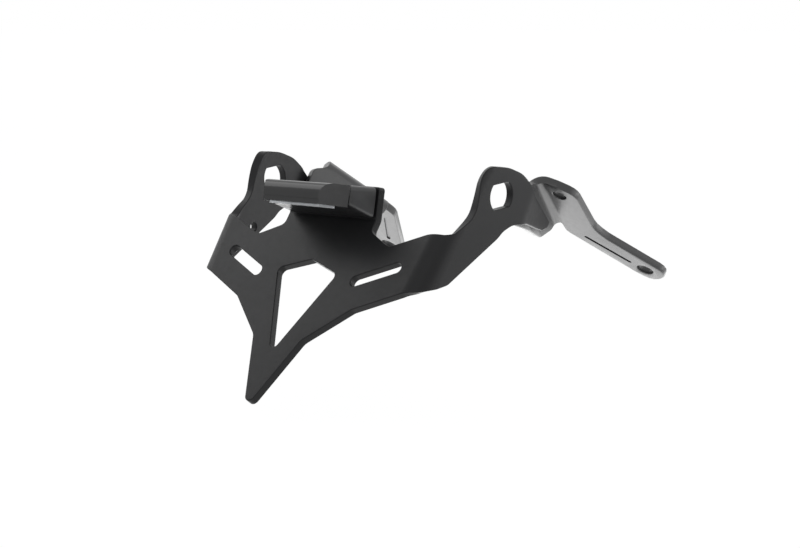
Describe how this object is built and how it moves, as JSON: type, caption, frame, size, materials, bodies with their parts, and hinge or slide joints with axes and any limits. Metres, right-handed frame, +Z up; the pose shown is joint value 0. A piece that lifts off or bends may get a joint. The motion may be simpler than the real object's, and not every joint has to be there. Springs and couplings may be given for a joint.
{
  "type": "tail tidy",
  "caption": "Folded sheet-steel number plate holder for a motorbike tail, with a pointed slotted panel, two side arms for indicators, bolted mounting brackets and a small plate lamp.",
  "frame": {"origin": "midway between the two front mounting holes, on the level of the top faces of the mounting plates", "axes": "+X to the right of the motorbike, +Y forward, +Z up as the picture shows it; the number plate panel leans its top forward and the mounting plates slope down forward by the same angle"},
  "size_m": [0.1858, 0.2014, 0.1072],
  "materials": {
    "sheet_coat": "satin black powder coat",
    "bracket_coat": "satin black powder coat",
    "zinc_steel": "zinc plated",
    "lamp_body": "black moulded plastic",
    "lamp_lens": "clear moulded plastic",
    "rubber": "matt",
    "board": "solder mask",
    "led": "cast resin"
  },
  "bodies": {
    "root": {"plate_bracket": "sheet_coat", "mount_bracket_left": "bracket_coat", "mount_bracket_right": "bracket_coat", "foot_screw_left_front": "zinc_steel", "foot_screw_left_rear": "zinc_steel", "foot_screw_right_front": "zinc_steel", "foot_screw_right_rear": "zinc_steel", "foot_washer_left_front": "zinc_steel", "foot_washer_left_rear": "zinc_steel", "foot_washer_right_front": "zinc_steel", "foot_washer_right_rear": "zinc_steel", "lamp_base": "lamp_body", "lamp_hood": "lamp_body", "lamp_lens": "lamp_lens", "lamp_pad": "rubber", "lamp_board": "board", "lamp_led_a": "led", "lamp_led_b": "led", "lamp_led_c": "led", "lamp_screw_left": "zinc_steel", "lamp_screw_right": "zinc_steel", "lamp_washer_left": "zinc_steel", "lamp_washer_right": "zinc_steel", "inlet_grommet": "rubber"}
  },
  "joints": []
}
